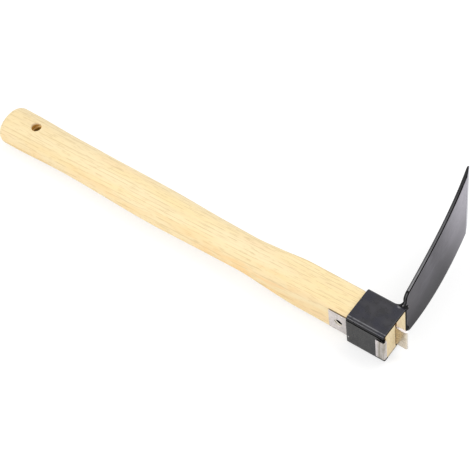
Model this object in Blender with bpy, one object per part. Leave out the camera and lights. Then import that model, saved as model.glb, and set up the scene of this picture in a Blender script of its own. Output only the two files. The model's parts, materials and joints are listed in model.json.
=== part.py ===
"""Hand hoe: wooden handle, folded steel socket, welded blade, retaining strap and end wedge.

Metres. Each piece is drawn in the hoe's own axes: +X runs along the handle towards the head, +Y is the
way the blade points and +Z goes across the blade's width. x = 0 is the socket's front edge, and
y = z = 0 is the socket's middle. The whole hoe is then laid on its side on the ground, z = 0.
"""
import math

import bmesh
import bpy
from mathutils import Matrix, Vector

# Gap between two pieces that touch
CLEARANCE = 0.0003

# Socket: a strip of sheet folded into a square band, with its two ends meeting at the upper near corner
SOCKET_LENGTH = 0.0377
SOCKET_DEPTH = 0.0360
SOCKET_WIDTH = 0.0385
SOCKET_SHEET = 0.0022
SOCKET_CORNER = 0.0034
SEAM_WIDTH = 0.0008
SEAM_DEPTH = 0.0012

# Blade: a plate that stands on the socket's far wall and leans back towards the handle
BLADE_REACH = 0.1390
BLADE_THICKNESS = 0.0037
BLADE_SETBACK = 0.0023
BLADE_LEAN = 0.0068
BLADE_CURVE = 0.0142
NECK_WIDTH = 0.0370
NECK_FILLET = 0.0012
SHOULDER_WIDTH = 0.0520
SHOULDER_FLARE = math.radians(16.2)
SHOULDER_RADIUS = 0.0075
SHOULDER_END = 0.0095
EDGE_WIDTH = 0.0876
EDGE_FLARE = math.radians(6.6)
EDGE_CORNER = 0.0015
GRIND_LENGTH = 0.0110
GRIND_DEPTH = 0.0021
BACK_GRIND_LENGTH = 0.0030
BACK_GRIND_DEPTH = 0.0004

# Weld beads in the two corners between the blade and the far wall
BACK_WELD_LEG = 0.0036
BACK_WELD_HOLLOW = 0.0008
FRONT_WELD_LEG = 0.0016
FRONT_WELD_CROWN = 0.0003
WELD_LENGTH = 0.0360

# Retaining strap: between the near wall and the wood, with its front end folded over the wall's edge
STRAP_WIDTH = 0.0250
STRAP_THICKNESS = 0.0009
STRAP_TAB = 0.0193
STRAP_HOOK = 0.0074
STRAP_BEND = 0.0002
STRAP_HOLE = 0.0070
STRAP_HOLE_BACK = 0.0096

# End wedge: straight taper in the saw cut, with its head bent a little and its corner rounded
WEDGE_WIDTH = 0.0254
WEDGE_SEAT = 0.0250
WEDGE_PROUD = 0.0113
WEDGE_TIP = 0.0003
WEDGE_THICKNESS = 0.0019
WEDGE_HEAD_THICKNESS = 0.0026
WEDGE_HEAD_LENGTH = 0.0024
WEDGE_HEAD_LEAN = 0.0003
WEDGE_OFFSET = 0.0001
KERF_BEYOND = 0.0070

# Handle: each section has a depth across Y, a width across Z, a shift of its middle to the blade's side
# and a roundness, the percentage of each half side that its round corner takes
HANDLE_LENGTH = 0.4293
BUTT_DEPTH = 0.0376
BUTT_WIDTH = 0.0312
BUTT_SHIFT = 0.0020
BUTT_ROUND = 0.0076
BUTT_TAPER = 0.0165
HANG_HOLE = 0.0098
HANG_HOLE_FROM_BUTT = 0.0353
HANG_HOLE_SHIFT = 0.0030
THIN_FROM_BUTT = 0.0793
THIN_DEPTH = 0.0343
THIN_WIDTH = 0.0308
THIN_SHIFT = 0.0020
GRIP_PLACE = 0.2600
GRIP_DEPTH = 0.0369
GRIP_WIDTH = 0.0308
GRIP_SHIFT = 0.0007
GRIP_ROUNDNESS = 96
WAIST_PLACE = 0.1550
WAIST_DEPTH = 0.0320
WAIST_WIDTH = 0.0320
WAIST_SHIFT = 0.0005
SQUARING_PLACE = 0.1250
SQUARING_DEPTH = 0.0317
SQUARING_WIDTH = 0.0328
SQUARING_SHIFT = 0.0005
SQUARING_ROUNDNESS = 65
BLOCK_PLACE = 0.0930
BLOCK_BULGE = 0.0005
BLOCK_RAMP = 0.0040
BLOCK_ROUNDNESS = 20
TENON_ROUNDNESS = 7

# How finely curves are drawn
HANDLE_STEP = 0.0085
CORNER_STEPS = 8
BUTT_STEPS = 5
BLADE_STEPS = 26
HOLE_SIDES = 40

# How far a cutter reaches past the face that it cuts
OVERSHOOT = 0.002

# How the hoe lies: rolled about the handle until the blade's side and the butt both touch the ground
LYING_ROLL = math.radians(10.5)

# Derived from the sizes above
WALL_INNER = SOCKET_DEPTH / 2 - SOCKET_SHEET
SIDE_INNER = SOCKET_WIDTH / 2 - SOCKET_SHEET
STRAP_OUTER = -WALL_INNER + CLEARANCE
STRAP_INNER = STRAP_OUTER + STRAP_THICKNESS
TENON_NEAR = STRAP_INNER + CLEARANCE
TENON_FAR = WALL_INNER - CLEARANCE
TENON_HALF = SIDE_INNER - CLEARANCE
TENON_DEPTH = TENON_FAR - TENON_NEAR
TENON_SHIFT = (TENON_FAR + TENON_NEAR) / 2
BLOCK_SHIFT = TENON_SHIFT + BLOCK_BULGE / 2
BLOCK_DEPTH = TENON_DEPTH + BLOCK_BULGE
SHOULDER_Y = SOCKET_DEPTH / 2
EDGE_Y = SHOULDER_Y + BLADE_REACH

# Handle sections: place behind the socket's front edge, depth, width, shift and roundness
HANDLE_SECTIONS = (
    (0.0, TENON_DEPTH, 2 * TENON_HALF, TENON_SHIFT, TENON_ROUNDNESS),
    (SOCKET_LENGTH, TENON_DEPTH, 2 * TENON_HALF, TENON_SHIFT, BLOCK_ROUNDNESS),
    (SOCKET_LENGTH + BLOCK_RAMP, BLOCK_DEPTH, 2 * TENON_HALF, BLOCK_SHIFT, BLOCK_ROUNDNESS),
    (BLOCK_PLACE, BLOCK_DEPTH, 2 * TENON_HALF, BLOCK_SHIFT, BLOCK_ROUNDNESS),
    (SQUARING_PLACE, SQUARING_DEPTH, SQUARING_WIDTH, SQUARING_SHIFT, SQUARING_ROUNDNESS),
    (WAIST_PLACE, WAIST_DEPTH, WAIST_WIDTH, WAIST_SHIFT, GRIP_ROUNDNESS),
    (GRIP_PLACE, GRIP_DEPTH, GRIP_WIDTH, GRIP_SHIFT, GRIP_ROUNDNESS),
    (HANDLE_LENGTH - THIN_FROM_BUTT, THIN_DEPTH, THIN_WIDTH, THIN_SHIFT, GRIP_ROUNDNESS),
    (HANDLE_LENGTH - BUTT_TAPER, BUTT_DEPTH, BUTT_WIDTH, BUTT_SHIFT, GRIP_ROUNDNESS),
    (HANDLE_LENGTH, BUTT_DEPTH, BUTT_WIDTH, BUTT_SHIFT, GRIP_ROUNDNESS),
)

parts = None
cutters = None


def clear_scene():
    for old in list(bpy.data.objects):
        bpy.data.objects.remove(old, do_unlink=True)


def new_collection(name):
    collection = bpy.data.collections.new(name)
    bpy.context.scene.collection.children.link(collection)
    return collection


def material(name, colour, roughness, metallic):
    made = bpy.data.materials.new(name)
    made.use_nodes = True
    shader = made.node_tree.nodes["Principled BSDF"]
    shader.inputs["Base Color"].default_value = (*colour, 1.0)
    shader.inputs["Roughness"].default_value = roughness
    shader.inputs["Metallic"].default_value = metallic
    made.diffuse_color = (*colour, 1.0)
    return made


def add_object(name, mesh, collection):
    obj = bpy.data.objects.new(name, mesh)
    collection.objects.link(obj)
    return obj


def loft(name, rings):
    """A closed body through rings of equally many points, with flat ends."""
    count = len(rings[0])
    points = [point for ring in rings for point in ring]
    faces = [tuple(range(count))]
    for row in range(len(rings) - 1):
        low = row * count
        for i in range(count):
            j = (i + 1) % count
            faces.append((low + j, low + i, low + count + i, low + count + j))
    last = (len(rings) - 1) * count
    faces.append(tuple(range(last + count - 1, last - 1, -1)))
    mesh = bpy.data.meshes.new(name)
    mesh.from_pydata(points, [], faces)
    mesh.update()
    return add_object(name, mesh, parts)


def extruded(name, loops, thickness, collection):
    """A flat outline in XY, with any holes as further loops, made thickness deep about z = 0."""
    curve = bpy.data.curves.new(name + "_outline", "CURVE")
    curve.dimensions = "2D"
    curve.fill_mode = "BOTH"
    curve.extrude = thickness / 2
    for loop in loops:
        spline = curve.splines.new("POLY")
        spline.points.add(len(loop) - 1)
        for point, place in zip(spline.points, loop):
            point.co = (place[0], place[1], 0.0, 1.0)
        spline.use_cyclic_u = True
    drawn = add_object(name + "_outline", curve, collection)
    evaluated = drawn.evaluated_get(bpy.context.evaluated_depsgraph_get())
    mesh = bpy.data.meshes.new_from_object(evaluated)
    bpy.data.objects.remove(drawn, do_unlink=True)
    obj = add_object(name, mesh, collection)
    weld_caps(mesh)
    return obj


def weld_caps(mesh):
    work = bmesh.new()
    work.from_mesh(mesh)
    bmesh.ops.remove_doubles(work, verts=work.verts, dist=0.00001)
    bmesh.ops.recalc_face_normals(work, faces=work.faces)
    work.to_mesh(mesh)
    work.free()


def arc(centre, radius, start, end, steps):
    """Points on an arc in a plane, angles in degrees."""
    points = []
    for i in range(steps + 1):
        angle = math.radians(start + (end - start) * i / steps)
        points.append((centre[0] + radius * math.cos(angle), centre[1] + radius * math.sin(angle)))
    return points


def round_box(half_x, half_y, radius, steps):
    """Outline of a rectangle with round corners, counterclockwise."""
    x = half_x - radius
    y = half_y - radius
    points = arc((x, y), radius, 0, 90, steps)
    points += arc((-x, y), radius, 90, 180, steps)
    points += arc((-x, -y), radius, 180, 270, steps)
    points += arc((x, -y), radius, 270, 360, steps)
    return points


def cut(target, cutter):
    cutter.hide_render = True
    cutter.display_type = "WIRE"
    modifier = target.modifiers.new("cut_" + cutter.name, "BOOLEAN")
    modifier.operation = "DIFFERENCE"
    modifier.solver = "EXACT"
    modifier.object = cutter


def round_cutter(name, radius, length, place, direction):
    bpy.ops.mesh.primitive_cylinder_add(vertices=HOLE_SIDES, radius=radius, depth=length, location=place)
    cutter = bpy.context.active_object
    cutter.name = name
    cutter.rotation_euler = Vector(direction).to_track_quat("Z", "Y").to_euler()
    for home in list(cutter.users_collection):
        home.objects.unlink(cutter)
    cutters.objects.link(cutter)
    return cutter


def smooth_value(place, knots):
    """Smooth value at a place between knots (place, value), level where the values turn."""
    knots = sorted(knots)
    if place <= knots[0][0]:
        return knots[0][1]
    if place >= knots[-1][0]:
        return knots[-1][1]

    def slope(index):
        if index <= 0 or index >= len(knots) - 1:
            return 0.0
        before = (knots[index][1] - knots[index - 1][1]) / (knots[index][0] - knots[index - 1][0])
        after = (knots[index + 1][1] - knots[index][1]) / (knots[index + 1][0] - knots[index][0])
        if before * after <= 0:
            return 0.0
        return 2 * before * after / (before + after)

    for index in range(len(knots) - 1):
        x0, v0 = knots[index]
        x1, v1 = knots[index + 1]
        if place <= x1:
            span = x1 - x0
            u = (place - x0) / span
            rise = (3 - 2 * u) * u * u
            bend = u * (1 - u) * span * (slope(index) * (1 - u) - slope(index + 1) * u)
            return v0 + (v1 - v0) * rise + bend
    return knots[-1][1]


# Handle

def handle_section(x, inset=0.0):
    """Ring of points round the handle at x, drawn in by inset."""
    depth, width, shift, roundness = [
        smooth_value(-x, [(section[0], section[column]) for section in HANDLE_SECTIONS])
        for column in range(1, 5)]
    half_y = depth / 2 - inset
    half_z = width / 2 - inset
    curved = roundness / 100
    ring = []
    for sign_y, sign_z, start in ((1, 1, 0), (-1, 1, 90), (-1, -1, 180), (1, -1, 270)):
        for i in range(CORNER_STEPS + 1):
            angle = math.radians(start + 90 * i / CORNER_STEPS)
            y = half_y * (sign_y * (1 - curved) + curved * math.cos(angle))
            z = half_z * (sign_z * (1 - curved) + curved * math.sin(angle))
            ring.append((x, shift + y, z))
    return ring


def wedge_half_thickness(x):
    """Half the straight taper's thickness at x."""
    slope = (WEDGE_HEAD_THICKNESS - WEDGE_THICKNESS) / WEDGE_PROUD
    return max(WEDGE_TIP, WEDGE_THICKNESS + slope * x) / 2


def wedge_middle():
    return WEDGE_OFFSET + WEDGE_THICKNESS / 2


def make_handle(finish):
    ends = []
    for i in range(BUTT_STEPS):
        angle = math.radians(90 * i / BUTT_STEPS)
        ends.append((-HANDLE_LENGTH + BUTT_ROUND * (1 - math.cos(angle)), BUTT_ROUND * (1 - math.sin(angle))))
    start = -HANDLE_LENGTH + BUTT_ROUND
    steps = math.ceil(-start / HANDLE_STEP)
    along = [(start * (1 - i / steps), 0.0) for i in range(steps + 1)]
    rings = [handle_section(x, inset) for x, inset in ends + along]
    handle = loft("handle", rings)

    hole_place = (HANG_HOLE_FROM_BUTT - HANDLE_LENGTH, HANG_HOLE_SHIFT, 0.0)
    hole = round_cutter("hang_hole_cutter", HANG_HOLE / 2, 2 * BUTT_WIDTH, hole_place, (0, 0, 1))
    cut(handle, hole)

    middle = wedge_middle()
    front = wedge_half_thickness(OVERSHOOT) + CLEARANCE
    back = wedge_half_thickness(-WEDGE_SEAT) + CLEARANCE
    outline = [
        (OVERSHOOT, middle - front), (OVERSHOOT, middle + front),
        (-WEDGE_SEAT, middle + back), (-WEDGE_SEAT - KERF_BEYOND, middle + back),
        (-WEDGE_SEAT - KERF_BEYOND, middle - back), (-WEDGE_SEAT, middle - back)]
    kerf = extruded("kerf_cutter", [outline], 2 * SOCKET_WIDTH, cutters)
    cut(handle, kerf)
    handle.data.materials.append(finish)
    return handle


# Socket

def make_socket(finish):
    """The band's outline is drawn in Y and Z, then turned so that its depth runs along X."""
    half_y = SOCKET_DEPTH / 2
    half_z = SOCKET_WIDTH / 2
    outer = round_box(half_y, half_z, SOCKET_CORNER, 6)
    inner = round_box(WALL_INNER, SIDE_INNER, SOCKET_CORNER - SOCKET_SHEET, 4)
    band = extruded("socket_band", [outer, inner], SOCKET_LENGTH, parts)
    turn = Matrix(((0, 0, 1, 0), (1, 0, 0, 0), (0, 1, 0, 0), (0, 0, 0, 1)))
    band.data.transform(Matrix.Translation((-SOCKET_LENGTH / 2, 0, 0)) @ turn)

    seam_z = half_z - SOCKET_CORNER
    bpy.ops.mesh.primitive_cube_add(size=1.0)
    seam = bpy.context.active_object
    seam.name = "seam_cutter"
    seam.scale = (SOCKET_LENGTH * 2, SEAM_DEPTH * 2, SEAM_WIDTH)
    seam.location = (0, -half_y, seam_z)
    for home in list(seam.users_collection):
        home.objects.unlink(seam)
    cutters.objects.link(seam)
    cut(band, seam)
    band.data.materials.append(finish)
    return band


# Blade

def blade_face(y):
    """The front face's X at a distance y out from the handle's middle."""
    share = (y - SHOULDER_Y) / BLADE_REACH
    return -BLADE_SETBACK - BLADE_LEAN * share - BLADE_CURVE * share * share


def blade_slope(y):
    share = (y - SHOULDER_Y) / BLADE_REACH
    return -(BLADE_LEAN + 2 * BLADE_CURVE * share) / BLADE_REACH


def blade_half_width(y):
    """Half width of the plate between its flaring shoulders and its edge."""
    u = (y - SHOULDER_Y) / BLADE_REACH
    start = (2 * u ** 3 - 3 * u ** 2 + 1) * SHOULDER_WIDTH / 2
    end = (3 * u ** 2 - 2 * u ** 3) * EDGE_WIDTH / 2
    start_flare = (u ** 3 - 2 * u ** 2 + u) * math.tan(SHOULDER_FLARE)
    end_flare = (u ** 3 - u ** 2) * math.tan(EDGE_FLARE)
    return start + end + (start_flare + end_flare) * BLADE_REACH


def blade_outline():
    """Distance out and half width: neck, hollow, round shoulder, side and edge corner."""
    side_start = SHOULDER_Y + SHOULDER_END
    nearby = 0.0005
    rise = blade_half_width(side_start + nearby) - blade_half_width(side_start - nearby)
    lean = math.atan2(rise, 2 * nearby)
    centre = (side_start + SHOULDER_RADIUS * math.sin(lean),
              blade_half_width(side_start) - SHOULDER_RADIUS * math.cos(lean))
    neck = NECK_WIDTH / 2
    fillet = min(NECK_FILLET, centre[1] - neck)
    hollow = (centre[0] - SHOULDER_RADIUS - fillet, neck + fillet)
    foot = SHOULDER_Y + CLEARANCE - BLADE_THICKNESS * blade_slope(SHOULDER_Y)

    outline = [(foot, neck)]
    outline += arc(hollow, fillet, -90, 0, 4)[:-1]
    outline += arc(centre, SHOULDER_RADIUS, 180, 90 + math.degrees(lean), 8)
    first = side_start
    last = EDGE_Y - EDGE_CORNER
    for i in range(1, BLADE_STEPS):
        y = first + (last - first) * i / BLADE_STEPS
        outline.append((y, blade_half_width(y)))
    end_width = blade_half_width(last)
    outline += arc((last, end_width - EDGE_CORNER), EDGE_CORNER, 90, 0, 4)
    return outline


def blade_ring(y, half_width):
    """Corners of the plate's section at y, round from the front."""
    slope = blade_slope(y)
    length = math.hypot(1.0, slope)
    front_depth = GRIND_DEPTH * max(0.0, (y - (EDGE_Y - GRIND_LENGTH)) / GRIND_LENGTH)
    back_share = max(0.0, (y - (EDGE_Y - BACK_GRIND_LENGTH)) / BACK_GRIND_LENGTH)
    back_depth = BLADE_THICKNESS - BACK_GRIND_DEPTH * back_share
    ring = []
    for depth, side in ((front_depth, 1), (back_depth, 1), (back_depth, -1), (front_depth, -1)):
        ring.append((blade_face(y) - depth / length, y + depth * slope / length, side * half_width))
    return ring


def make_blade(finish):
    outline = blade_outline()
    for y in (EDGE_Y - GRIND_LENGTH, EDGE_Y - BACK_GRIND_LENGTH):
        outline.append((y, blade_half_width(y)))
    outline.sort()
    blade = loft("blade", [blade_ring(y, half_width) for y, half_width in outline])
    blade.data.materials.append(finish)
    return blade


# Welds

def make_back_weld(finish):
    """A hollow bead between the plate's back and the far wall."""
    wall = SHOULDER_Y + CLEARANCE
    plate = blade_face(wall) - BLADE_THICKNESS - CLEARANCE
    top = wall + BACK_WELD_LEG
    plate_top = blade_face(top) - BLADE_THICKNESS - CLEARANCE
    outline = [(plate, wall), (plate_top, top)]
    for i in range(1, 6):
        u = i / 6
        bow = BACK_WELD_HOLLOW * math.sin(math.pi * u)
        outline.append((plate_top - BACK_WELD_LEG * u + bow, top - BACK_WELD_LEG * u - bow))
    outline.append((plate_top - BACK_WELD_LEG, wall))
    bead = extruded("weld_back", [outline], WELD_LENGTH, parts)
    bead.data.materials.append(finish)
    return bead


def make_front_weld(finish):
    """A small full bead between the plate's front and the far wall's edge."""
    wall = SHOULDER_Y + CLEARANCE
    plate = blade_face(wall) + CLEARANCE
    top = wall + FRONT_WELD_LEG
    outline = [(plate, wall), (plate + FRONT_WELD_LEG, wall)]
    for i in range(1, 4):
        u = i / 4
        bow = FRONT_WELD_CROWN * math.sin(math.pi * u)
        outline.append((plate + FRONT_WELD_LEG * (1 - u) + bow, wall + FRONT_WELD_LEG * u + bow))
    outline.append((plate, top))
    bead = extruded("weld_front", [outline], WELD_LENGTH, parts)
    bead.data.materials.append(finish)
    return bead


# Strap

def make_strap(finish):
    """Side view of the strap: straight tab and run, two bends round the wall's edge, and the hook."""
    wall_out = -SOCKET_DEPTH / 2 - CLEARANCE
    hook_out = wall_out - STRAP_THICKNESS
    outer_bend = STRAP_BEND + STRAP_THICKNESS
    front = CLEARANCE
    outline = [(-SOCKET_LENGTH - STRAP_TAB, STRAP_OUTER), (-SOCKET_LENGTH - STRAP_TAB, STRAP_INNER)]
    outline += arc((front, STRAP_INNER - outer_bend), outer_bend, 90, 0, 5)
    outline += arc((front, hook_out + outer_bend), outer_bend, 0, -90, 5)
    outline += [(-STRAP_HOOK, hook_out), (-STRAP_HOOK, wall_out)]
    outline += arc((front, wall_out + STRAP_BEND), STRAP_BEND, -90, 0, 3)
    outline += arc((front, STRAP_OUTER - STRAP_BEND), STRAP_BEND, 0, 90, 3)
    strap = extruded("retaining_strap", [outline], STRAP_WIDTH, parts)
    hole_place = (-SOCKET_LENGTH - STRAP_HOLE_BACK, (STRAP_INNER + STRAP_OUTER) / 2, 0.0)
    hole = round_cutter("strap_hole_cutter", STRAP_HOLE / 2, 6 * STRAP_THICKNESS, hole_place, (0, 1, 0))
    cut(strap, hole)
    strap.data.materials.append(finish)
    return strap


# Wedge

def make_wedge(finish):
    """Side view of the wedge: taper from the tip, then a short head that leans to the blade's side."""
    middle = wedge_middle()
    neck = WEDGE_PROUD - WEDGE_HEAD_LENGTH
    neck_half = wedge_half_thickness(neck)
    tip_half = wedge_half_thickness(-WEDGE_SEAT)
    head_half = WEDGE_HEAD_THICKNESS / 2
    lean = WEDGE_HEAD_LEAN
    outline = [
        (-WEDGE_SEAT, middle - tip_half), (neck, middle - neck_half),
        (WEDGE_PROUD - WEDGE_HEAD_LENGTH / 3, middle + lean / 2 - head_half),
        (WEDGE_PROUD, middle + lean - head_half / 2),
        (WEDGE_PROUD, middle + lean + head_half / 2),
        (WEDGE_PROUD - WEDGE_HEAD_LENGTH / 3, middle + lean / 2 + head_half),
        (neck, middle + neck_half), (-WEDGE_SEAT, middle + tip_half)]
    wedge = extruded("end_wedge", [outline], WEDGE_WIDTH, parts)
    wedge.data.materials.append(finish)
    return wedge


# Lying on the ground

def places(objects, turn):
    """Every point of the finished pieces, turned."""
    graph = bpy.context.evaluated_depsgraph_get()
    found = []
    for obj in objects:
        evaluated = obj.evaluated_get(graph)
        mesh = evaluated.to_mesh()
        found += [turn @ obj.matrix_world @ vertex.co for vertex in mesh.vertices]
        evaluated.to_mesh_clear()
    return found


def lie_down(pieces, handle):
    """Pitch the rolled hoe until the butt and the head touch the ground together, and set it there."""
    roll = Matrix.Rotation(LYING_ROLL, 4, "X")
    head = [piece for piece in pieces if piece is not handle]
    low = math.radians(-5.0)
    high = math.radians(5.0)
    wood_points = places([handle], roll)
    head_points = places(head, roll)
    for _ in range(40):
        pitch = (low + high) / 2
        turn = Matrix.Rotation(pitch, 4, "Y")
        butt_low = min((turn @ point).z for point in wood_points)
        head_low = min((turn @ point).z for point in head_points)
        if butt_low > head_low:
            high = pitch
        else:
            low = pitch
    turn = Matrix.Rotation(pitch, 4, "Y")
    points = [turn @ point for point in wood_points + head_points]
    lowest = [min(point[axis] for point in points) for axis in range(3)]
    highest = [max(point[axis] for point in points) for axis in range(3)]
    rest = bpy.data.objects.new("lying_hoe", None)
    parts.objects.link(rest)
    middle_x = (lowest[0] + highest[0]) / 2
    middle_y = (lowest[1] + highest[1]) / 2
    rest.matrix_world = Matrix.Translation((-middle_x, -middle_y, -lowest[2])) @ turn @ roll
    for piece in list(pieces) + list(cutters.objects):
        piece.parent = rest
    return rest


def main():
    global parts, cutters
    clear_scene()
    parts = new_collection("hand_hoe")
    cutters = new_collection("cutters")
    wood = material("pale_wood", (0.86, 0.68, 0.40), 0.55, 0.0)
    paint = material("black_paint", (0.055, 0.055, 0.065), 0.45, 0.0)
    plate = material("dark_plate", (0.14, 0.14, 0.16), 0.42, 0.4)
    galvanised = material("galvanised_sheet", (0.62, 0.60, 0.62), 0.38, 0.9)
    bright = material("bright_steel", (0.68, 0.66, 0.64), 0.25, 1.0)

    handle = make_handle(wood)
    pieces = [
        handle, make_socket(paint), make_blade(plate), make_back_weld(paint), make_front_weld(paint),
        make_strap(galvanised), make_wedge(bright)]
    for piece in pieces:
        piece.data.shade_smooth()
        piece.data.set_sharp_from_angle(angle=math.radians(30))
    lie_down(pieces, handle)


main()
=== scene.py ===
import json
import math

import bmesh
import bpy
from mathutils import Matrix, Vector, noise
from mathutils.geometry import intersect_point_line


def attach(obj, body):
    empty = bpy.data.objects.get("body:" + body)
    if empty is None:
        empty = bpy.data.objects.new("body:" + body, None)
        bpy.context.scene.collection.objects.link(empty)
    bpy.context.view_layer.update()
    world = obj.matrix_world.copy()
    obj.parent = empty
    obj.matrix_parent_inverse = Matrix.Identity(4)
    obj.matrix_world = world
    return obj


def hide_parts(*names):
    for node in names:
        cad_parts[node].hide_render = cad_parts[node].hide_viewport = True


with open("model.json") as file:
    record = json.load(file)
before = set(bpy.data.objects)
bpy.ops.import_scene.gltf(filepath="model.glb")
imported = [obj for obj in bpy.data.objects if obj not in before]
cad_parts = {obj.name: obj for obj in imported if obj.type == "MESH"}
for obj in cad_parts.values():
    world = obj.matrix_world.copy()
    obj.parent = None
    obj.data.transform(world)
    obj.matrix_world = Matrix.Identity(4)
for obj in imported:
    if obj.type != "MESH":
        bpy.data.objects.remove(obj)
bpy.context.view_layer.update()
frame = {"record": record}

CLEARANCE = 0.0003

SOCKET_LENGTH = 0.0377
SOCKET_DEPTH = 0.0360
SOCKET_WIDTH = 0.0385
SOCKET_SHEET = 0.0022
SOCKET_CORNER = 0.0034
SEAM_WIDTH = 0.0013
SEAM_DEPTH = 0.0015
SEAM_FLARE = 0.0026
SEAM_FLARE_LENGTH = 0.0070
SHEET_ROUND = 0.0006
SHEET_INNER_ROUND = 0.0003
FOLD_LINE_Y = -0.01445

BLADE_REACH = 0.1390
BLADE_THICKNESS = 0.0037
BLADE_SETBACK = 0.0023
BLADE_LEAN = 0.0068
BLADE_CURVE = 0.0142
NECK_WIDTH = 0.0370
NECK_FILLET = 0.0012
SHOULDER_WIDTH = 0.0520
SHOULDER_FLARE = math.radians(16.2)
SHOULDER_RADIUS = 0.0075
SHOULDER_END = 0.0095
EDGE_WIDTH = 0.0876
EDGE_FLARE = math.radians(6.6)
EDGE_CORNER = 0.0015
GRIND_LENGTH = 0.0110
GRIND_DEPTH = 0.0021
BACK_GRIND_LENGTH = 0.0030
BACK_GRIND_DEPTH = 0.0004
SIDE_GRIND_LENGTH = 0.0016
PLATE_ROUND = 0.0005
RIM_BAND = 0.0007

BACK_WELD_LEG = 0.0036
BACK_WELD_HOLLOW = 0.0008
BACK_END_LEG = 0.0052
BACK_END_HOLLOW = 0.0015
FRONT_PLATE_LEG = 0.0028
FRONT_WALL_LEG = 0.0019
FRONT_WELD_CROWN = 0.0003
WELD_LENGTH = 0.0360
WELD_END_START = 0.0130
WELD_END_RAMP = 0.0030
WELD_GAP = 0.00002

STRAP_WIDTH = 0.0250
STRAP_THICKNESS = 0.0009
STRAP_TAB = 0.0193
STRAP_HOOK = 0.0074
STRAP_BEND = 0.0002
STRAP_HOLE = 0.0082
STRAP_HOLE_BACK = 0.0096
STRAP_ROUND = 0.00016

WEDGE_WIDTH = 0.0254
WEDGE_SEAT = 0.0250
WEDGE_PROUD = 0.0113
WEDGE_TIP = 0.0003
WEDGE_THICKNESS = 0.0019
WEDGE_HEAD_THICKNESS = 0.0026
WEDGE_HEAD_LENGTH = 0.0024
WEDGE_HEAD_LEAN = 0.0003
WEDGE_OFFSET = 0.0001
WEDGE_ROUND = 0.0003
KERF_BEYOND = 0.0070

HANDLE_LENGTH = 0.4293
BUTT_DEPTH = 0.0376
BUTT_WIDTH = 0.0312
BUTT_SHIFT = 0.0020
BUTT_ROUND = 0.0076
BUTT_TAPER = 0.0165
HANG_HOLE = 0.0098
HANG_HOLE_FROM_BUTT = 0.0353
HANG_HOLE_SHIFT = 0.0030
HOLE_RIM = 0.0003
PILOT_HOLE = 0.0090
PILOT_HOLE_DEPTH = 0.0060
PILOT_HOLE_FORWARD = 0.0012
PILOT_HOLE_UP = 0.0017
THIN_FROM_BUTT = 0.0793
THIN_DEPTH = 0.0343
THIN_WIDTH = 0.0308
THIN_SHIFT = 0.0020
GRIP_PLACE = 0.2600
GRIP_DEPTH = 0.0369
GRIP_WIDTH = 0.0308
GRIP_SHIFT = 0.0007
GRIP_ROUNDNESS = 96
WAIST_PLACE = 0.1550
WAIST_DEPTH = 0.0320
WAIST_WIDTH = 0.0320
WAIST_SHIFT = 0.0005
SQUARING_PLACE = 0.1250
SQUARING_DEPTH = 0.0317
SQUARING_WIDTH = 0.0328
SQUARING_SHIFT = 0.0005
SQUARING_ROUNDNESS = 65
BLOCK_PLACE = 0.0930
BLOCK_BULGE = 0.0005
BLOCK_RAMP = 0.0040
BLOCK_ROUNDNESS = 20
TENON_ROUNDNESS = 7
TENON_END_ROUND = 0.0004

WALL_INNER = SOCKET_DEPTH / 2 - SOCKET_SHEET
SIDE_INNER = SOCKET_WIDTH / 2 - SOCKET_SHEET
NEAR_WALL = -SOCKET_DEPTH / 2
SEAM_Z = SOCKET_WIDTH / 2 - SOCKET_CORNER
STRAP_OUTER = -WALL_INNER + CLEARANCE
STRAP_INNER = STRAP_OUTER + STRAP_THICKNESS
TAB_END = -SOCKET_LENGTH - STRAP_TAB
TAB_HOLE_X = -SOCKET_LENGTH - STRAP_HOLE_BACK
TENON_NEAR = STRAP_INNER + CLEARANCE
TENON_FAR = WALL_INNER - CLEARANCE
TENON_WIDTH = 2 * (SIDE_INNER - CLEARANCE)
TENON_DEPTH = TENON_FAR - TENON_NEAR
TENON_SHIFT = (TENON_FAR + TENON_NEAR) / 2
BLOCK_SHIFT = TENON_SHIFT + BLOCK_BULGE / 2
BLOCK_DEPTH = TENON_DEPTH + BLOCK_BULGE
SHOULDER_Y = SOCKET_DEPTH / 2
EDGE_Y = SHOULDER_Y + BLADE_REACH
WEDGE_MIDDLE = WEDGE_OFFSET + WEDGE_THICKNESS / 2

# Handle sections: place behind the socket's front edge, depth, width, shift and roundness in per cent
HANDLE_SECTIONS = (
    (0.0, TENON_DEPTH, TENON_WIDTH, TENON_SHIFT, TENON_ROUNDNESS),
    (SOCKET_LENGTH, TENON_DEPTH, TENON_WIDTH, TENON_SHIFT, BLOCK_ROUNDNESS),
    (SOCKET_LENGTH + BLOCK_RAMP, BLOCK_DEPTH, TENON_WIDTH, BLOCK_SHIFT, BLOCK_ROUNDNESS),
    (BLOCK_PLACE, BLOCK_DEPTH, TENON_WIDTH, BLOCK_SHIFT, BLOCK_ROUNDNESS),
    (SQUARING_PLACE, SQUARING_DEPTH, SQUARING_WIDTH, SQUARING_SHIFT, SQUARING_ROUNDNESS),
    (WAIST_PLACE, WAIST_DEPTH, WAIST_WIDTH, WAIST_SHIFT, GRIP_ROUNDNESS),
    (GRIP_PLACE, GRIP_DEPTH, GRIP_WIDTH, GRIP_SHIFT, GRIP_ROUNDNESS),
    (HANDLE_LENGTH - THIN_FROM_BUTT, THIN_DEPTH, THIN_WIDTH, THIN_SHIFT, GRIP_ROUNDNESS),
    (HANDLE_LENGTH - BUTT_TAPER, BUTT_DEPTH, BUTT_WIDTH, BUTT_SHIFT, GRIP_ROUNDNESS),
    (HANDLE_LENGTH, BUTT_DEPTH, BUTT_WIDTH, BUTT_SHIFT, GRIP_ROUNDNESS),
)

# The four corners of a squared section: signs of Y and Z, and the angle at which each begins
CORNERS = ((1, 1, 0), (-1, 1, 90), (-1, -1, 180), (1, -1, 270))


# Where the hoe lies

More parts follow.
